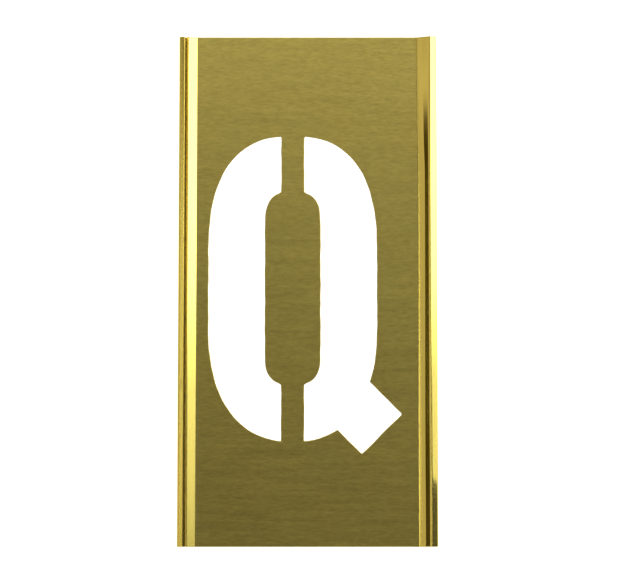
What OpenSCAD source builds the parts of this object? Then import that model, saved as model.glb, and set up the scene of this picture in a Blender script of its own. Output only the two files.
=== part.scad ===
// Interlocking lettering stencil: one letter cut in a plate of thin sheet brass.
// The plate lies on its back, with the letter's top towards +Y and its face up.
// Each long edge is roll-formed, so that the hook on the right edge of one plate
// slides into the pocket on the left edge of the next. The whole plate is one
// sheet, drawn as its flat field, the letter's island and ties, and the flat and
// bent stretches of the two edges, which meet face to face.

/* [Sheet] */
// Height of the plate, along the letter
plate_h = 127; // [110:0.5:180]
// Thickness of the sheet brass
sheet_t = 0.3; // [0.25:0.01:0.35]
// Bare sheet between the left lock edge and the letter
left_margin = 2.9; // [1:0.1:15]
// Bare sheet between the letter and the right lock edge
right_margin = 3.6; // [1:0.1:15]
// Height of the letter's centre above the plate's centre
letter_lift = 0.4; // [-5:0.1:5]

/* [Letter] */
// Height of the letter's bowl
letter_h = 76.2; // [70:0.1:100]
// Width of the letter's bowl
bowl_w = 41.9; // [38:0.1:60]
// Width of the letter's stroke, all the way round and in the tail
stroke_w = 14.1; // [10:0.1:16]
// Straight stretch in the middle of the bowl's sides
bowl_side = 18; // [5:0.5:30]
// Straight stretch in the middle of the counter's sides
counter_side = 32; // [10:0.5:40]
// Squareness of the bowl's upper end, where 2 is an ellipse
bowl_square = 2.5; // [2:0.05:3.5]
// Squareness of the bowl's lower end, where 2 is an ellipse
bowl_foot_square = 2.35; // [2:0.05:3.5]
// Squareness of the counter's rounded ends, where 2 is an ellipse
counter_square = 2.9; // [2:0.1:3.5]
// Slope of the tail below the horizontal, in degrees
tail_slope = 45; // [40:1:50]
// Distance from the letter's centre to the tail's middle line
tail_drop = 10; // [8:0.1:12]
// Reach of the tail's end from the letter's centre, along the tail
tail_reach = 41.2; // [38:0.1:48]
// Width of the ties that carry the counter
tie_w = 5.6; // [3:0.1:8]
// Radius of the letter's inside corners
corner_r = 0.4; // [0.2:0.05:0.8]

/* [Lock edges] */
// Width of the folded lip on the left edge
lip_w = 1.4; // [1.2:0.05:2]
// Rise of the lip towards its free edge, which opens the pocket's mouth
lip_rise = 0.26; // [0.1:0.02:0.4]
// Play above and below a lip that slides in a pocket
slide_gap = 0.04; // [0.02:0.01:0.1]
// Play beside a wall that slides in a groove
side_gap = 0.1; // [0.05:0.01:0.15]
// Height of the rib beside the groove, over the back of the plate
rib_h = 1.1; // [0.9:0.05:1.4]
// Run of the rib's ramp, from its crest down to the sheet
rib_run = 2.3; // [1.5:0.1:4]
// Play between the hook's roof and the raised lip that slides under it
roof_gap = 0.05; // [0.03:0.01:0.3]
// Fall of the hook's roof, from its crest to the outer edge
roof_fall = 0.45; // [0.2:0.05:0.8]
// Run of the hook's roof, from its crest to the outer edge
roof_run = 1.62; // [1.4:0.02:2.5]
// Run of the narrow facet behind the crest
facet_run = 0.6; // [0.4:0.05:1]
// Fall of the narrow facet behind the crest
facet_fall = 0.18; // [0.1:0.02:0.3]
// Run of the steep flank below the facet
flank_run = 0.98; // [0.9:0.02:2]
// Height of the flank's foot, over the back of the plate
flank_foot = 0.9; // [0.6:0.02:1.1]
// Run of the gentle ramp, from the flank's foot down to the sheet
ramp_run = 1.95; // [1.4:0.05:4]
// Radius of the bends, on the middle of the sheet
bend_r = 0.2; // [0.18:0.01:0.25]

/* [Hidden] */

// Steps in a quarter of a rounded outline, and in one bend of the sheet
end_steps = 24;
bend_steps = 6;

// Distance below which two points of a path are one
same_point = 0.001;

// Flat sheet that each lock edge keeps beyond its first bend
land = 0.3;
// Flat sheet that a narrow fold or wall keeps beyond its bend
stub = 0.06;
// Flat roof that the hook's wall keeps beyond its bend
roof_stub = 0.16;
// Sunk part of a corner fillet, which joins it to the sheet behind it
fillet_root = 0.2;
// Length of the tail's strip in stroke widths, and lean of the rib's steep side
// in thicknesses of the sheet
tail_strip = 1.3;
rib_lean = 0.7;

brass_face = [0.56, 0.50, 0.25];
brass_edge = [0.93, 0.83, 0.45];

// The slide lock: what slides in takes its size from the sheet and the play
mid = sheet_t / 2;
pocket_h = sheet_t + 2 * slide_gap;
groove_w = sheet_t + 2 * side_gap;
lip_mid = sheet_t + pocket_h + mid;
lip_top = lip_mid + mid;
hook_mid = sheet_t + slide_gap + mid;
hook_lip_w = lip_w - side_gap;
edge_top = lip_top + lip_rise + roof_gap + sheet_t;
crest_top = edge_top + roof_fall;
fold_r = (lip_mid - mid) / 2;
floor_end = lip_w + groove_w - stub;
rib_foot = lip_w + groove_w + mid;
rib_crest = rib_foot + rib_lean * sheet_t;
left_lock_w = rib_crest + rib_run;
facet_end = roof_run + facet_run;
facet_mid = crest_top - mid - facet_fall;
flank_end = facet_end + flank_run;
right_lock_w = flank_end + ramp_run;

// The letter, about its own centre
bowl_x = bowl_w / 2;
bowl_y = letter_h / 2;
counter_x = bowl_x - stroke_w;
counter_y = bowl_y - stroke_w;
tail_len = tail_strip * stroke_w;
tail_tip_x = tail_reach * cos(tail_slope) - (tail_drop - stroke_w / 2) * sin(tail_slope);

// The plate, about its own centre
plate_w = left_lock_w + left_margin + bowl_x + tail_tip_x + right_margin + right_lock_w;
sheet_left = left_lock_w - plate_w / 2;
sheet_right = plate_w / 2 - right_lock_w;
letter_x = sheet_left + left_margin + bowl_x;

// One quarter of a rounded end: a superellipse that stands on a straight side.
// The letter's outlines are four quarters, and the bowl's foot is less square
function end_point(half_w, half_h, side, square, a) = [
  half_w * pow(cos(a), 2 / square),
  side / 2 + (half_h - side / 2) * pow(sin(a), 2 / square)
];

function quarter(half_w, half_h, side, square) = [
  for (i = [0 : end_steps]) end_point(half_w, half_h, side, square, 90 * i / end_steps)
];

function mirrored(points, sx, sy) = [for (p = points) [sx * p.x, sy * p.y]];

function reversed(points) = [for (i = [len(points) - 1 : -1 : 0]) points[i]];

// The same point twice in a row, at the axes, is left out
function without_first(points) = [for (i = [1 : len(points) - 1]) points[i]];

function rounded_oblong(half_w, half_h, side, square, foot_square) =
  let (
    q = quarter(half_w, half_h, side, square),
    foot = quarter(half_w, half_h, side, foot_square)
  )
  concat(
    q,
    without_first(reversed(mirrored(q, -1, 1))),
    mirrored(foot, -1, -1),
    without_first(reversed(mirrored(foot, 1, -1)))
  );

module bowl_outline() {
  polygon(rounded_oblong(bowl_x, bowl_y, bowl_side, bowl_square, bowl_foot_square));
}

module counter_outline() {
  polygon(rounded_oblong(counter_x, counter_y, counter_side, counter_square, counter_square));
}

// The tail is a strip on the slope, with its two outer corners rounded
module tail_outline() {
  rotate(-tail_slope) translate([tail_reach, -tail_drop]) {
    translate([-tail_len, -stroke_w / 2]) square([tail_len - corner_r, stroke_w]);
    translate([-tail_len, -stroke_w / 2 + corner_r]) square([tail_len, stroke_w - 2 * corner_r]);
    for (s = [-1, 1])
      translate([-corner_r, s * (stroke_w / 2 - corner_r)]) circle(corner_r, $fn = 24);
  }
}

// A concave corner in the cut: its metal fills the corner behind a round
module corner_fillet() {
  difference() {
    translate([-fillet_root, -fillet_root]) square(corner_r + fillet_root);
    translate([corner_r, corner_r]) circle(corner_r, $fn = 24);
  }
}

// Height of a rounded end above the letter's centre, at x from its middle line
function end_height(half_w, half_h, side, square, x) =
  side / 2 + (half_h - side / 2) * pow(1 - pow(x / half_w, square), 1 / square);

// One tie with its four fillets, above the letter's centre
module tie_strip(square) {
  bowl_edge = end_height(bowl_x, bowl_y, bowl_side, square, tie_w / 2);
  counter_edge = end_height(counter_x, counter_y, counter_side, counter_square, tie_w / 2);
  translate([-tie_w / 2, counter_y / 2]) square([tie_w, bowl_y - counter_y / 2]);
  for (s = [0, 1]) mirror([s, 0]) {
    translate([tie_w / 2, counter_edge]) corner_fillet();
    translate([tie_w / 2, bowl_edge]) mirror([0, 1]) corner_fillet();
  }
}

// The tie above the letter's centre is at end 0, and the one below at end 1
module tie(end, square) {
  linear_extrude(sheet_t) difference() {
    intersection() {
      mirror([0, end]) tie_strip(square);
      bowl_outline();
    }
    counter_outline();
  }
}

module place_letter() {
  translate([letter_x, letter_lift, 0]) children();
}

// Bent sheet: a path of [x, z, bend radius] corners along the middle of the sheet
function xz(p) = [p[0], p[1]];

function unit(v) = v / norm(v);

function turn(a, b) = atan2(a.x * b.y - a.y * b.x, a * b);

function rotated(v, a) = [v.x * cos(a) - v.y * sin(a), v.x * sin(a) + v.y * cos(a)];

// The arc that replaces corner q between p and r
function bend(p, q, r) =
  let (
    into = unit(xz(q) - xz(p)),
    out = unit(xz(r) - xz(q)),
    angle = turn(into, out),
    start = xz(q) - into * q[2] * abs(tan(angle / 2)),
    to_centre = rotated(into, 90 * sign(angle)) * q[2]
  )
  [for (i = [0 : bend_steps]) start + to_centre - rotated(to_centre, angle * i / bend_steps)];

// Two bends that meet share a point, which is kept once
function distinct(points) = [
  for (i = [0 : len(points) - 1])
    if (i == 0 || norm(points[i] - points[i - 1]) > same_point) points[i]
];

function bent_path(path) = distinct(concat(
  [xz(path[0])],
  [for (i = [1 : len(path) - 2]) each bend(path[i - 1], path[i], path[i + 1])],
  [xz(path[len(path) - 1])]
));

// The path moved sideways by d, square to its direction at each point
function path_side(path, d) = [
  for (i = [0 : len(path) - 1])
    let (
      before = i == 0 ? path[1] - path[0] : path[i] - path[i - 1],
      after = i == len(path) - 1 ? before : path[i + 1] - path[i],
      along = unit(unit(before) + unit(after))
    )
    path[i] + rotated(along, 90) * d / (along * unit(after))
];

module bent_sheet(path) {
  line = bent_path(path);
  rotate([90, 0, 0]) linear_extrude(plate_h, center = true)
    polygon(concat(path_side(line, mid), reversed(path_side(line, -mid))));
}

// Places where a stretch of bent sheet ends, on a flat part of its path
fold_end = mid + fold_r + stub;
wall_end = mid + bend_r + stub;
roof_end = mid + bend_r + roof_stub;
roof_start = [roof_end, roof_height(roof_end), 0];
flank_middle = [facet_end + flank_run / 2, (facet_mid + flank_foot - mid) / 2, 0];

// Height of the lip's middle line at a distance from the outer edge
function lip_height(v) = lip_mid + lip_rise * (v - mid) / (lip_w - mid);

// Height of the roof's middle line at a distance from the outer edge
function roof_height(v) = edge_top - mid + roof_fall * (v - mid) / (roof_run - mid);

// The left edge is drawn from its outer fold inwards
module on_left_edge(path) {
  color(brass_edge) translate([-plate_w / 2, 0, 0]) bent_sheet(path);
}

// The right edge is drawn from its outer wall inwards
module on_right_edge(path) {
  color(brass_edge) translate([plate_w / 2, 0, 0]) mirror([1, 0, 0]) bent_sheet(path);
}

module face_sheet() {
  left = sheet_left + land;
  width = sheet_right - land - left;
  color(brass_face) linear_extrude(sheet_t) difference() {
    translate([left, -plate_h / 2]) square([width, plate_h]);
    translate([letter_x, letter_lift]) {
      bowl_outline();
      tail_outline();
    }
  }
}

module letter_counter() {
  color(brass_face) place_letter() linear_extrude(sheet_t) counter_outline();
}

module upper_tie() {
  color(brass_face) place_letter() tie(0, bowl_square);
}

module lower_tie() {
  color(brass_face) place_letter() tie(1, bowl_foot_square);
}

module pocket_lip() {
  on_left_edge([[lip_w, lip_height(lip_w), 0], [fold_end, lip_height(fold_end), 0]]);
}

module pocket_fold() {
  on_left_edge([
    [fold_end, lip_height(fold_end), 0],
    [mid, lip_mid, fold_r],
    [mid, mid, fold_r],
    [fold_end, mid, 0]
  ]);
}

module pocket_floor() {
  on_left_edge([[fold_end, mid, 0], [floor_end, mid, 0]]);
}

module rib() {
  on_left_edge([
    [floor_end, mid, 0],
    [rib_foot, mid, bend_r],
    [rib_crest, rib_h - mid, bend_r],
    [left_lock_w, mid, bend_r],
    [left_lock_w + land, mid, 0]
  ]);
}

module hook_lip() {
  on_right_edge([[hook_lip_w, hook_mid, 0], [wall_end, hook_mid, 0]]);
}

module hook_wall() {
  on_right_edge([
    [wall_end, hook_mid, 0],
    [mid, hook_mid, bend_r],
    [mid, edge_top - mid, bend_r],
    roof_start
  ]);
}

module hook_roof() {
  on_right_edge([
    roof_start,
    [roof_run, crest_top - mid, bend_r],
    [facet_end, facet_mid, bend_r],
    flank_middle
  ]);
}

module hook_ramp() {
  on_right_edge([
    flank_middle,
    [flank_end, flank_foot - mid, bend_r],
    [right_lock_w, mid, bend_r],
    [right_lock_w + land, mid, 0]
  ]);
}

face_sheet();
letter_counter();
upper_tie();
lower_tie();
pocket_lip();
pocket_fold();
pocket_floor();
rib();
hook_lip();
hook_wall();
hook_roof();
hook_ramp();
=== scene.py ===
import math

import bpy
import numpy as np
from mathutils import Matrix, Vector
from mathutils.geometry import delaunay_2d_cdt


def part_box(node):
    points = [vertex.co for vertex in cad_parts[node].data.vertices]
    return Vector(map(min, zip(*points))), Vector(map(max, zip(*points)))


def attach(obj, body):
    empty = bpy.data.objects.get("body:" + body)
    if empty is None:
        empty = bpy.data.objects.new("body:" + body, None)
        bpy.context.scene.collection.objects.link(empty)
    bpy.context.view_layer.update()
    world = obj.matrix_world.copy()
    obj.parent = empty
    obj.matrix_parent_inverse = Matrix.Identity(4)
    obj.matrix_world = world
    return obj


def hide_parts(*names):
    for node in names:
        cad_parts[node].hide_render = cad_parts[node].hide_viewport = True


MM = 0.001

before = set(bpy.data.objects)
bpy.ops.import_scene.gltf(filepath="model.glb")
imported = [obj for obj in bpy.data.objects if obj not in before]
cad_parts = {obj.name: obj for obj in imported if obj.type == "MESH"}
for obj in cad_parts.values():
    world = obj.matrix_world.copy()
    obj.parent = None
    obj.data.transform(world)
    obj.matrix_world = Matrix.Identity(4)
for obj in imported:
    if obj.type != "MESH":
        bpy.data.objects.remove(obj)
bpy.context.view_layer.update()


# Camera, at the photograph's viewing angle

IMAGE_W = 640.0
FOCAL_PX = 2750.0
SENSOR_W = 36.0
VIEW_TILT = math.radians(6.0)
VIEW_DISTANCE = 681.7 * MM
AIM = Vector((3.06 * MM, 0.77 * MM, 0.3 * MM))
CLIP_START, CLIP_END = 0.02, 20.0

camera = bpy.data.objects.new("camera", bpy.data.cameras.new("camera"))
camera.data.sensor_width = SENSOR_W
camera.data.lens = FOCAL_PX / IMAGE_W * SENSOR_W
camera.data.clip_start = CLIP_START
camera.data.clip_end = CLIP_END
camera.location = AIM + VIEW_DISTANCE * Vector((0, -math.sin(VIEW_TILT), math.cos(VIEW_TILT)))
camera.rotation_euler = (VIEW_TILT, 0, 0)
bpy.context.scene.collection.objects.link(camera)
bpy.context.scene.camera = camera


# Sizes of the plate in mm, read from the frame apart from the sheet's thickness

SHEET_T = 0.3
MID = SHEET_T / 2
LO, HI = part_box("face_sheet")
SHEET_X0, SHEET_X1 = LO.x / MM, HI.x / MM
HALF_H = HI.y / MM
LEFT_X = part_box("pocket_fold")[0].x / MM
RIGHT_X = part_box("hook_wall")[1].x / MM
# Flat strip of sheet that belongs to each bent edge
LAND = 0.3


# Mesh helpers

def quarter_turn(steps):
    """Sine and cosine at even steps from 0 to 90 degrees"""
    angles = [math.pi / 2 * i / steps for i in range(steps + 1)]
    return [(math.sin(a), math.cos(a)) for a in angles]


def turned(v, a):
    """The 2-D vector turned anticlockwise by a radians"""
    return Vector((v.x * math.cos(a) - v.y * math.sin(a), v.x * math.sin(a) + v.y * math.cos(a)))


class Shell:
    """Points with their normals, in mm, and the faces between them"""

    def __init__(self):
        self.points, self.normals, self.faces = [], [], []

    def add(self, point, normal):
        """Adds a point and returns its number"""
        self.points.append(point)
        self.normals.append(normal)
        return len(self.points) - 1

    def facing_out(self, face):
        """The face, turned so that its own normal agrees with those of its points"""
        corners = [Vector(self.points[i]) for i in face]
        own = (corners[2] - corners[0]).cross(corners[-1] - corners[1])
        wanted = sum((Vector(self.normals[i]) for i in face), Vector((0, 0, 0)))
        return face if own.dot(wanted) > 0 else face[::-1]


def make_object(name, shell, material):
    """A smooth-shaded object, in metres, with the shell's faces and normals"""
    mesh = bpy.data.meshes.new(name)
    faces = [shell.facing_out(face) for face in shell.faces]
    mesh.from_pydata([tuple(c * MM for c in p) for p in shell.points], [], faces)
    mesh.polygons.foreach_set("use_smooth", [True] * len(mesh.polygons))
    mesh.normals_split_custom_set_from_vertices([tuple(n) for n in shell.normals])
    mesh.update()
    mesh.materials.append(material)
    obj = bpy.data.objects.new(name, mesh)
    bpy.context.scene.collection.objects.link(obj)
    return obj


# Flat sheet with the letter

FLAT_NODES = ("face_sheet", "letter_counter", "upper_tie", "lower_tie")

# Rounding of a cut edge: wide on the face that the punch entered, narrow behind
ROLL = 0.16
BURR = 0.03
ROLL_STEPS = 4
BURR_STEPS = 2
# The letter's edges stand this much into its openings
SPREAD = 0.07

# Waves that shift the letter's outline in X and in Y: height, radians per mm of x and of y, and start
WAVES_X = ((0.035, 0.3, 0.55, 0.0), (0.03, -0.4, 1.3, 1.1))
WAVES_Y = ((0.03, 0.8, 0.25, 0.6),)

# Points closer than this are one, and an outline has a point at least every so many mm
SAME_POINT = 0.01
OUTLINE_STEP = 1.0
# Points along the plate's ends and sides, and a grid between them that keeps clear of the openings
END_POINTS = 23
SIDE_POINTS = 51
GRID = 2.5
GRID_CLEAR = 0.6 * GRID / 2
# A face whose normal rises more than this is the sheet's face
FACES_UP = 0.9
# A sharp corner is inset, or its sheet offset, as if its half angle's cosine were at least this
CORNER_LIMIT = 0.5
MESH_TOLERANCE = 1e-7


def flat_outlines(names):
    """Outlines, in mm, of the flat CAD nodes taken together: anticlockwise round metal"""
    ids, follow, seen = {}, {}, set()
    for name in names:
        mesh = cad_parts[name].data
        for face in mesh.polygons:
            if face.normal.z > FACES_UP:
                corners = []
                for v in face.vertices:
                    co = mesh.vertices[v].co / MM
                    corners.append(ids.setdefault((round(co.x, 3), round(co.y, 3)), len(ids)))
                seen.update(zip(corners, corners[1:] + corners[:1]))
    for a, b in seen:
        if (b, a) not in seen and a != b:
            follow[a] = b
    points = {i: p for p, i in ids.items()}
    loops = []
    while follow:
        loop, at = [], min(follow)
        while at in follow:
            loop.append(points[at])
            at = follow.pop(at)
        loops.append(loop)
    return loops


def without_repeats(loop, least):
    """The loop without points that are closer than least to the one before"""
    kept = []
    for p in loop:
        if not kept or math.dist(p, kept[-1]) > least:
            kept.append(p)
    if math.dist(kept[0], kept[-1]) <= least:
        kept.pop()
    return kept


def evened(loop, longest):
    """The loop with points added where two are further apart than longest"""
    out = []
    for a, b in zip(loop, loop[1:] + loop[:1]):
        n = max(1, math.ceil(math.dist(a, b) / longest))
        out += [(a[0] + (b[0] - a[0]) * i / n, a[1] + (b[1] - a[1]) * i / n) for i in range(n)]
    return out


def wave(x, y, waves):
    return sum(height * math.sin(per_x * x + per_y * y + start) for height, per_x, per_y, start in waves)


def wobbled(loop):
    """The loop with the small unevenness of a hand-cut outline"""
    return [(x + wave(x, y, WAVES_X), y + wave(x, y, WAVES_Y)) for x, y in loop]


def letter_loops():
    """Outlines of the letter's openings: all loops of the flat nodes but the plate's own"""
    loops = []
    for loop in flat_outlines(FLAT_NODES):
        loop = without_repeats(loop, SAME_POINT)
        if min(p[0] for p in loop) > SHEET_X0 + SAME_POINT:
            loops.append(wobbled(evened(loop, OUTLINE_STEP)))
    return loops


def corner_normals(loop):
    """Direction from the metal towards the cut at each point, long enough for a true inset"""
    out = []
    for p, q, r in zip(loop[-1:] + loop[:-1], loop, loop[1:] + loop[:1]):
        a = Vector((q[1] - p[1], p[0] - q[0])).normalized()
        b = Vector((r[1] - q[1], q[0] - r[0])).normalized()
        m = (a + b).normalized()
        out.append(m / max(CORNER_LIMIT, m.dot(a)))
    return out


def inside(x, y, loops):
    """Whether a point is inside an odd number of the loops"""
    odd = False
    for loop in loops:
        for (x0, y0), (x1, y1) in zip(loop, loop[1:] + loop[:1]):
            if (y0 > y) != (y1 > y) and x < x0 + (y - y0) * (x1 - x0) / (y1 - y0):
                odd = not odd
    return odd


def gap_to(x, y, loops):
    """Distance from a point to the nearest point of the loops"""
    return min(math.dist((x, y), p) for loop in loops for p in loop)


def edge_rings():
    """Each ring round a cut edge, face first: inset from the cut, height, and normal outwards and upwards"""
    rings = []
    for s, c in quarter_turn(ROLL_STEPS):
        rings.append((ROLL * (1 - s), SHEET_T - ROLL * (1 - c), s, c))
    for s, c in quarter_turn(BURR_STEPS):
        rings.append((BURR * (1 - c), BURR * (1 - s), c, -s))
    return rings


def add_opening_edge(shell, loop):
    """Cut edge round one opening. Returns its ring on the face and its ring on the back"""
    out = corner_normals(loop)
    rings = []
    for inset, z, flat, up in edge_rings():
        step = inset - SPREAD
        ring = []
        for p, n in zip(loop, out):
            u = n.normalized()
            ring.append(shell.add((p[0] - n.x * step, p[1] - n.y * step, z), (u.x * flat, u.y * flat, up)))
        rings.append(ring)
    for upper, lower in zip(rings, rings[1:]):
        for i in range(len(loop)):
            j = (i + 1) % len(loop)
            shell.faces.append((upper[i], lower[i], lower[j], upper[j]))
    return rings[0], rings[-1]


def add_plate_end(shell, side):
    """Cut edge across the plate's foot (side -1) or top (side 1). Returns its rows on the face and back"""
    rows = []
    for inset, z, flat, up in edge_rings():
        xs = np.linspace(SHEET_X0, SHEET_X1, END_POINTS)
        rows.append([shell.add((x, side * (HALF_H - inset), z), (0, side * flat, up)) for x in xs])
    for upper, lower in zip(rows, rows[1:]):
        for i in range(END_POINTS - 1):
            shell.faces.append((upper[i], lower[i], lower[i + 1], upper[i + 1]))
    return rows[0], rows[-1]


def add_flat_side(shell, z, up, foot, head, hole_rings):
    """Face or back of the sheet, meshed between its cut edges over a regular grid"""
    left, right = [], []
    for y in np.linspace(-HALF_H, HALF_H, SIDE_POINTS)[1:-1]:
        left.append(shell.add((SHEET_X0, y, z), (0, 0, up)))
        right.append(shell.add((SHEET_X1, y, z), (0, 0, up)))
    border = [foot + right + head[::-1] + left[::-1]] + hole_rings
    holes = [[shell.points[i][:2] for i in ring] for ring in hole_rings]
    index = [i for loop in border for i in loop]
    for x in np.arange(SHEET_X0 + GRID / 2, SHEET_X1, GRID):
        for y in np.arange(-HALF_H + GRID / 2, HALF_H, GRID):
            if not inside(x, y, holes) and gap_to(x, y, holes) > GRID_CLEAR:
                index.append(shell.add((x, y, z), (0, 0, up)))
    edges, at = [], 0
    for loop in border:
        edges += [(at + i, at + (i + 1) % len(loop)) for i in range(len(loop))]
        at += len(loop)
    flat = [Vector(shell.points[i][:2]) for i in index]
    meshed = delaunay_2d_cdt(flat, edges, [], 1, MESH_TOLERANCE)
    places, triangles, sources = meshed[0], meshed[2], meshed[3]
    corner = []
    for place, source in zip(places, sources):
        corner.append(index[min(source)] if source else shell.add((*place, z), (0, 0, up)))
    for triangle in triangles:
        ids = tuple(corner[i] for i in triangle)
        cx = sum(shell.points[i][0] for i in ids) / len(ids)
        cy = sum(shell.points[i][1] for i in ids) / len(ids)
        if not inside(cx, cy, holes):
            shell.faces.append(ids)


def make_flat_sheet(material):
    """The flat field, the island and the ties as one sheet, with rounded cut edges"""
    shell = Shell()
    openings = [add_opening_edge(shell, loop) for loop in letter_loops()]
    foot = add_plate_end(shell, -1)
    head = add_plate_end(shell, 1)
    for which, z, up in ((0, SHEET_T, 1), (1, 0.0, -1)):
        add_flat_side(shell, z, up, foot[which], head[which], [rings[which] for rings in openings])
    return make_object("flat_sheet", shell, material)


# Bent edges, each swept along Y from a path of corners (x, z, bend radius) on the sheet's middle line

BEND_R = 0.2
# Steps in a bend of 90 degrees and in the smallest bend, and longest step on a straight stretch
BEND_STEPS = 14
LEAST_BEND_STEPS = 4
STRAIGHT_STEP = 0.4
# Rounding of the sheared ends and of the free lip
END_ROLL = 0.07
END_STEPS = 3
LEAST_ROUND = 0.005
# Places along the plate where the section is drawn
STATIONS = 121
# The brushed finish starts this far past the foot of the last ramp
BRUSHED_FROM = 0.1


def bend_steps(path):
    """Steps in each bend, and in each straight stretch, of a bent edge"""
    bends, straights = [], []
    for i in range(len(path) - 1):
        p, q = Vector(path[i][:2]), Vector(path[i + 1][:2])
        straights.append(max(1, math.ceil((q - p).length / STRAIGHT_STEP)))
        if i:
            before = p - Vector(path[i - 1][:2])
            share = abs((q - p).angle(before)) / (math.pi / 2)
            bends.append(max(LEAST_BEND_STEPS, round(BEND_STEPS * share)))
    return bends, straights


def bent_line(path, bends, straights):
    """Points along the middle of a bent sheet"""
    arcs = []
    for p, q, r, steps in zip(path, path[1:], path[2:], bends):
        into = (Vector(q[:2]) - Vector(p[:2])).normalized()
        out = (Vector(r[:2]) - Vector(q[:2])).normalized()
        angle = math.atan2(into.x * out.y - into.y * out.x, into.dot(out))
        start = Vector(q[:2]) - into * q[2] * abs(math.tan(angle / 2))
        centre = turned(into, math.copysign(math.pi / 2, angle)) * q[2]
        arcs.append([start + centre - turned(centre, angle * i / steps) for i in range(steps + 1)])
    arcs = [[Vector(path[0][:2])]] + arcs + [[Vector(path[-1][:2])]]
    line = list(arcs[0])
    for before, arc, n in zip(arcs, arcs[1:], straights):
        line += [before[-1].lerp(arc[0], i / n) for i in range(1, n)]
        line += arc
    return line


def ring_profile(line, half, r):
    """Closed outline and normals of a bent sheet of the half thickness half, rounded by r at its first end"""
    directions = [(q - p).normalized() for p, q in zip(line, line[1:])]
    sides = []
    for before, after in zip(directions[:1] + directions, directions + directions[-1:]):
        along = (before + after).normalized()
        sides.append((turned(along, math.pi / 2), max(CORNER_LIMIT, along.dot(after))))
    first = directions[0]
    side = turned(first, math.pi / 2)
    outline, normals = [], []
    for s, c in reversed(quarter_turn(END_STEPS)):
        normals.append(side * c - first * s)
        outline.append(line[0] + side * (half - r) + first * r + normals[-1] * r)
    for p, (n, stretch) in zip(line[1:], sides[1:]):
        normals.append(n)
        outline.append(p + n * half / stretch)
    for p, (n, stretch) in zip(line[:0:-1], sides[:0:-1]):
        normals.append(-n)
        outline.append(p - n * half / stretch)
    for s, c in quarter_turn(END_STEPS):
        normals.append(-side * c - first * s)
        outline.append(line[0] - side * (half - r) + first * r + normals[-1] * r)
    return outline, normals


def make_bent_edge(name, path_at, sign, origin, material, shaded_flat_material):
    """A bent edge. path_at(y) starts at the free lip, and its x counts from origin inwards"""
    counts = bend_steps(path_at(0))
    end = [(-HALF_H + END_ROLL * (1 - c), END_ROLL * (1 - s), -c) for s, c in quarter_turn(END_STEPS)]
    middle = [(y, 0.0, 0.0) for y in np.linspace(-HALF_H, HALF_H, STATIONS)[1:-1]]
    stations = end + middle + [(-y, inset, -tilt) for y, inset, tilt in reversed(end)]
    shell = Shell()
    rows = []
    for y, inset, tilt in stations:
        line = bent_line(path_at(y), *counts)
        outline, around = ring_profile(line, MID - inset, max(LEAST_ROUND, END_ROLL - inset))
        flat = math.sqrt(max(0.0, 1 - tilt * tilt))
        row = []
        for p, n in zip(outline, around):
            row.append(shell.add((origin + sign * p.x, y, p.y), (sign * n.x * flat, tilt, n.y * flat)))
        rows.append(row)
    # Given facing in, so that the quads next to the sheet, whose points' normals cancel, are turned too
    for row, following in zip(rows, rows[1:]):
        for i in range(len(row)):
            j = (i + 1) % len(row)
            quad = (row[i], row[j], following[j], following[i])
            shell.faces.append(quad if sign < 0 else quad[::-1])
    # Flat ends: quads between the two sides of the sheet
    for row, facing in ((rows[0], -1), (rows[-1], 1)):
        cap = [shell.add(shell.points[i], (0, facing, 0)) for i in row]
        for i in range(len(cap) // 2 - 1):
            shell.faces.append((cap[i], cap[i + 1], cap[-2 - i], cap[-1 - i]))
    obj = make_object(name, shell, material)
    # The flat stretch next to the sheet is brushed as the sheet is, and takes the sheet's darker colour,
    # which is painted shade
    obj.data.materials.append(shaded_flat_material)
    for polygon in obj.data.polygons:
        foot = path_at(polygon.center.y / MM)[-2][0] + BRUSHED_FROM
        if sign * (polygon.center.x / MM - origin) > foot:
            polygon.material_index = 1
    return obj


# Materials

# Stretch of the noises for streaks, bands and fine grain that run across or along the plate
ACROSS = ((350, 3000, 3000), (60, 1200, 1200), (600, 2100, 2100))
ALONG = ((5200, 60, 5200), (1600, 24, 1600), (5200, 110, 5200))
STREAK_SHARE, BAND_SHARE, GRAIN_SHARE = 0.26, 0.05, 0.69
# Most of a noise lies between these values
NOISE_RANGE = (0.3, 0.7)
# Soft clouds, about a centimetre across, between a warmer and a cooler tint
CLOUD_SCALE = 90.0
WARMER = (1.03, 0.985, 0.95)
COOLER = (0.965, 1.01, 1.06)
# Numbers of the Mix node's colour sockets
MIX_FIRST, MIX_SECOND, MIX_RESULT = 6, 7, 2


def nodes_of(material):
    """The material's node tree, emptied"""
    material.use_nodes = True
    tree = material.node_tree
    tree.nodes.clear()
    return tree.nodes, tree.links


def value_math(nodes, links, operation, a, b, clamp=False):
    """Output of a Math node whose inputs are numbers or sockets"""
    node = nodes.new("ShaderNodeMath")
    node.operation = operation
    node.use_clamp = clamp
    for socket, x in zip(node.inputs, (a, b)):
        if isinstance(x, (int, float)):
            socket.default_value = x
        else:
            links.new(x, socket)
    return node.outputs[0]


def value_range(nodes, links, value, from_range, to_range, kind="LINEAR"):
    """Output of a Map Range node"""
    node = nodes.new("ShaderNodeMapRange")
    node.interpolation_type = kind
    node.inputs["From Min"].default_value, node.inputs["From Max"].default_value = from_range
    node.inputs["To Min"].default_value, node.inputs["To Max"].default_value = to_range
    links.new(value, node.inputs["Value"])
    return node.outputs[0]


def mixed(nodes, links, factor, first, second):
    """Output of a Mix node between two colours"""
    node = nodes.new("ShaderNodeMix")
    node.data_type = "RGBA"
    node.inputs[MIX_FIRST].default_value = (*first, 1)
    node.inputs[MIX_SECOND].default_value = (*second, 1)
    links.new(factor, node.inputs[0])
    return node.outputs[MIX_RESULT]


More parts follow.
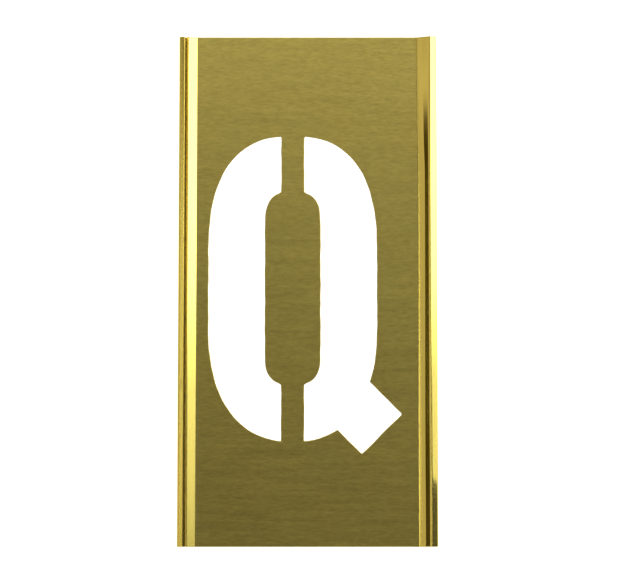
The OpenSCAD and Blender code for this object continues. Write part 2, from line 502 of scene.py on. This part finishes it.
def noise(nodes, links, coords, stretch, detail, roughness, scale=1.0):
    """Output of a Noise Texture node on stretched coordinates"""
    mapping = nodes.new("ShaderNodeMapping")
    mapping.inputs["Scale"].default_value = stretch
    links.new(coords, mapping.inputs["Vector"])
    texture = nodes.new("ShaderNodeTexNoise")
    texture.inputs["Scale"].default_value = scale
    texture.inputs["Detail"].default_value = detail
    texture.inputs["Roughness"].default_value = roughness
    links.new(mapping.outputs[0], texture.inputs["Vector"])
    return texture.outputs["Fac"]


def brass(name, colour, stretches, rough, rough_swing, colour_swing, bump):
    """Brass whose colour, roughness and bump follow its grain. bump is a height in metres"""
    material = bpy.data.materials.new(name)
    nodes, links = nodes_of(material)
    out = nodes.new("ShaderNodeOutputMaterial")
    shader = nodes.new("ShaderNodeBsdfPrincipled")
    links.new(shader.outputs[0], out.inputs["Surface"])
    shader.inputs["Metallic"].default_value = 1.0

    coords = nodes.new("ShaderNodeTexCoord").outputs["Object"]
    streaks = noise(nodes, links, coords, stretches[0], detail=3.0, roughness=0.6)
    bands = noise(nodes, links, coords, stretches[1], detail=2.0, roughness=0.5)
    fine = noise(nodes, links, coords, stretches[2], detail=2.0, roughness=0.6)
    clouds = noise(nodes, links, coords, (1, 1, 1), detail=3.0, roughness=0.55, scale=CLOUD_SCALE)
    grain = value_math(nodes, links, "ADD", value_math(nodes, links, "MULTIPLY", streaks, STREAK_SHARE),
                       value_math(nodes, links, "MULTIPLY", bands, BAND_SHARE))
    grain = value_math(nodes, links, "ADD", grain, value_math(nodes, links, "MULTIPLY", fine, GRAIN_SHARE))

    warmer = [c * k for c, k in zip(colour, WARMER)]
    cooler = [c * k for c, k in zip(colour, COOLER)]
    shade = value_range(nodes, links, grain, NOISE_RANGE, (1.0 - colour_swing, 1.0 + colour_swing))
    scaled = nodes.new("ShaderNodeVectorMath")
    scaled.operation = "SCALE"
    links.new(mixed(nodes, links, clouds, warmer, cooler), scaled.inputs[0])
    links.new(shade, scaled.inputs["Scale"])
    links.new(scaled.outputs[0], shader.inputs["Base Color"])
    level = value_range(nodes, links, bands, NOISE_RANGE, (rough - rough_swing, rough + rough_swing))
    links.new(level, shader.inputs["Roughness"])
    height = nodes.new("ShaderNodeBump")
    height.inputs["Strength"].default_value = 1.0
    height.inputs["Distance"].default_value = bump
    links.new(grain, height.inputs["Height"])
    links.new(height.outputs[0], shader.inputs["Normal"])
    return material


# The sheet's brass is the edges' brass made about half as bright: painted shade for the dim light that its
# face reflects
SHADED_SHEET_BRASS = brass("brushed_sheet_painted_shade", (0.485, 0.388, 0.091), ACROSS, rough=0.36, rough_swing=0.015,
                    colour_swing=0.17, bump=0.000001)
EDGE_BRASS = brass("rolled_edge", (0.88, 0.71, 0.16), ALONG, rough=0.15, rough_swing=0.008,
                   colour_swing=0.035, bump=0.0000001)


# The object: the flat sheet

flat_sheet = make_flat_sheet(SHADED_SHEET_BRASS)
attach(flat_sheet, "root")
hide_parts("face_sheet", "letter_counter", "upper_tie", "lower_tie")


def ease(start, end, y):
    """From 0 to 1, smoothly, as y goes from start to end"""
    t = min(1.0, max(0.0, (y - start) / (end - start)))
    return t * t * (3 - 2 * t)


def bump_at(middle, width, y):
    """A smooth bump along y, 1 high"""
    return math.exp(-((y - middle) / width) ** 2)


# The object: the left edge, with the pocket and the rib

LEFT_W = SHEET_X0 - LEFT_X - LAND
LIP_W = 1.4
LIP_MID = 0.68 + MID
LIP_RISE = 0.26
LIP_R = 0.3
FOLD_R = 0.33
GROOVE_W = 0.4
RIB_FOOT = LIP_W + GROOVE_W + MID
RIB_CREST = RIB_FOOT + 0.7 * SHEET_T
RIB_H = 1.1
RAMP_FOOT = LEFT_W - 0.1


def left_path(y):
    """The lip, which rises to its free edge, the fold, the floor and the rib with its ramp"""
    # Small marks of handling, below the middle: the lip stands up a little, and the rib is dented
    lip_end = LIP_MID + LIP_RISE + 0.012 * bump_at(-23.4, 1.3, y)
    rib_top = RIB_H - MID - 0.02 * bump_at(-25.4, 1.3, y)
    return [
        (LIP_W, lip_end, 0),
        (MID, LIP_MID, LIP_R),
        (MID, MID, FOLD_R),
        (RIB_FOOT, MID, BEND_R),
        (RIB_CREST, rib_top, BEND_R),
        (RAMP_FOOT, MID, BEND_R),
        (LEFT_W + LAND, MID, 0),
    ]


left_lock = make_bent_edge("left_lock", left_path, 1, LEFT_X, EDGE_BRASS, SHADED_SHEET_BRASS)
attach(left_lock, "root")
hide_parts("pocket_lip", "pocket_fold", "pocket_floor", "rib")


# The object: the right edge, with the hook

RIGHT_W = RIGHT_X - SHEET_X1 - LAND
HOOK_LIP_W = 1.3
SLIDE_GAP = 0.04
HOOK_MID = SHEET_T + SLIDE_GAP + MID


def right_path(y):
    """The hook: its return lip, wall, roof, crest with its facet, steep flank and long ramp"""
    # Towards the foot of the plate the crest moves outwards, and close to it the roof is pressed flatter
    low = ease(-15, -58, y)
    pressed = ease(-45, -52, y)
    # Upwards from the foot the crest comes down and the flank narrows, and at the top it meets the ramp
    high = ease(-40, 15, y)
    top = 0.5 * (ease(28, 41, y) + ease(38, 60, y))
    wall_z = 1.44 - 0.06 * high + 0.06 * pressed + 0.06 * top
    crest_x = 1.62 - 0.15 * low
    crest_z = 1.83 - 0.1 * high - 0.15 * pressed + 0.11 * top
    facet_x = 2.03 - 0.09 * low + 0.12 * top
    facet_z = crest_z - 0.124 - 0.02 * low - 0.146 * top
    flank_x = 3.01 - 0.12 * high + 0.61 * top
    flank_z = 0.74 + 0.05 * high + 0.096 * top
    ramp_x = 3.83 + 0.17 * high + 0.5 * top
    ramp_z = 0.4 - 0.09 * high + 0.03 * top
    foot_x = 4.72 - 0.15 * high + 0.38 * top
    flank_r, ramp_r, foot_r = 0.7, 2.0 - 1.7 * top, 0.7 - 0.3 * top
    return [
        (HOOK_LIP_W, HOOK_MID, 0),
        (MID, HOOK_MID, BEND_R),
        (MID, wall_z, BEND_R),
        (crest_x, crest_z, BEND_R),
        (facet_x, facet_z, BEND_R),
        (flank_x, flank_z, flank_r),
        (ramp_x, ramp_z, ramp_r),
        (foot_x, MID, foot_r),
        (RIGHT_W + LAND, MID, 0),
    ]


right_lock = make_bent_edge("right_lock", right_path, -1, RIGHT_X, EDGE_BRASS, SHADED_SHEET_BRASS)
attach(right_lock, "root")
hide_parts("hook_lip", "hook_wall", "hook_roof", "hook_ramp")


# Floor

FLOOR_HALF = 3.0
FLOOR_DROP = 0.00002
FLOOR_COLOUR = (0.93, 0.93, 0.93, 1)
FLOOR_GLOW = 0.75


def make_floor():
    """A pale floor, just below the plate, that the camera and the metal see as white"""
    material = bpy.data.materials.new("floor")
    nodes, links = nodes_of(material)
    out = nodes.new("ShaderNodeOutputMaterial")
    add = nodes.new("ShaderNodeAddShader")
    links.new(add.outputs[0], out.inputs["Surface"])
    diffuse = nodes.new("ShaderNodeBsdfDiffuse")
    diffuse.inputs["Color"].default_value = FLOOR_COLOUR
    glow = nodes.new("ShaderNodeEmission")
    rays = nodes.new("ShaderNodeLightPath")
    seen = value_math(nodes, links, "ADD", rays.outputs["Is Camera Ray"], rays.outputs["Is Glossy Ray"], True)
    seen = value_math(nodes, links, "ADD", seen, rays.outputs["Is Transmission Ray"], True)
    links.new(value_math(nodes, links, "MULTIPLY", seen, FLOOR_GLOW), glow.inputs["Strength"])
    links.new(diffuse.outputs[0], add.inputs[0])
    links.new(glow.outputs[0], add.inputs[1])
    corners = [(x * FLOOR_HALF, y * FLOOR_HALF, 0) for x, y in ((-1, -1), (1, -1), (1, 1), (-1, 1))]
    mesh = bpy.data.meshes.new("floor")
    mesh.from_pydata(corners, [], [(0, 1, 2, 3)])
    mesh.materials.append(material)
    floor = bpy.data.objects.new("floor", mesh)
    bpy.context.scene.collection.objects.link(floor)
    floor.location.z = -FLOOR_DROP


make_floor()


# Light

LIGHT_DISTANCE = 1.2
# Watts of each square metre of a softbox for a brightness of 1
POWER_FACTOR = 4
# Angles in degrees from the zenith towards +X and +Y, width and height in metres, brightness and colour
SOFTBOXES = {
    "key_right": (47, 28, 1.2, 0.64, 2.7, (1, 1, 1)),
    "low_right": (41, 0.6, 0.38, 0.14, 0.8, (1, 1, 1)),
    "fill_left": (-45, 5.8, 0.72, 0.52, 0.37, (1, 0.92, 0.88)),
    "low_left": (-54, 6.5, 0.17, 0.6, 0.13, (1, 0.92, 0.85)),
    "strip_left": (-24.6, 3.6, 0.06, 0.3, 2.7, (1, 0.95, 0.78)),
    "overhead_back": (-11, 41.3, 0.76, 0.84, 2.2, (1, 1, 1)),
}


def make_softbox(name, angle_x, angle_y, width, height, brightness, colour):
    """An area light that faces the plate"""
    light = bpy.data.lights.new(name, "AREA")
    light.shape = "RECTANGLE"
    light.size, light.size_y = width, height
    light.energy = brightness * POWER_FACTOR * width * height
    light.color = colour
    obj = bpy.data.objects.new(name, light)
    toward = Vector((math.tan(math.radians(angle_x)), math.tan(math.radians(angle_y)), 1)).normalized()
    across = Vector((0, 1, 0)).cross(toward).normalized()
    obj.location = toward * LIGHT_DISTANCE
    obj.rotation_mode = "QUATERNION"
    obj.rotation_quaternion = Matrix((across, toward.cross(across), toward)).transposed().to_quaternion()
    obj.visible_camera = False
    bpy.context.scene.collection.objects.link(obj)


for box_name, box_values in SOFTBOXES.items():
    make_softbox(box_name, *box_values)


# World: a studio with pale walls, a dark ceiling between the lights and a dark brown wall on the left

DARK_LEVEL = 0.06
WALL_LEVEL = 0.8
FRONT_LEVEL = 0.6
BROWN = (0.95, 0.7, 0.1)
WHITE = (1, 1, 1)


def make_world():
    world = bpy.data.worlds.new("world")
    bpy.context.scene.world = world
    world.use_nodes = True
    nodes, links = world.node_tree.nodes, world.node_tree.links
    axes = nodes.new("ShaderNodeSeparateXYZ")
    links.new(nodes.new("ShaderNodeTexCoord").outputs["Generated"], axes.inputs[0])
    x, y, z = axes.outputs
    # The walls end below the ceiling, and leave out the left side unless it is far behind
    walls = value_range(nodes, links, z, (0.25, 0.6), (WALL_LEVEL, 0.0), "SMOOTHSTEP")
    not_left = value_range(nodes, links, x, (-0.6, -0.1), (0.0, 1.0), "SMOOTHSTEP")
    behind = value_range(nodes, links, y, (0.35, 0.65), (0.0, 1.0), "SMOOTHSTEP")
    lit = value_math(nodes, links, "MAXIMUM", not_left, behind)
    front = value_range(nodes, links, y, (-0.55, -0.25), (FRONT_LEVEL, 0.0), "SMOOTHSTEP")
    level = value_math(nodes, links, "MAXIMUM", value_math(nodes, links, "MULTIPLY", walls, lit), front)
    white = value_math(nodes, links, "MAXIMUM", lit, front)
    background = nodes["Background"]
    links.new(mixed(nodes, links, white, BROWN, WHITE), background.inputs["Color"])
    links.new(value_math(nodes, links, "ADD", level, DARK_LEVEL), background.inputs["Strength"])


make_world()

bpy.context.scene.view_settings.view_transform = "Standard"
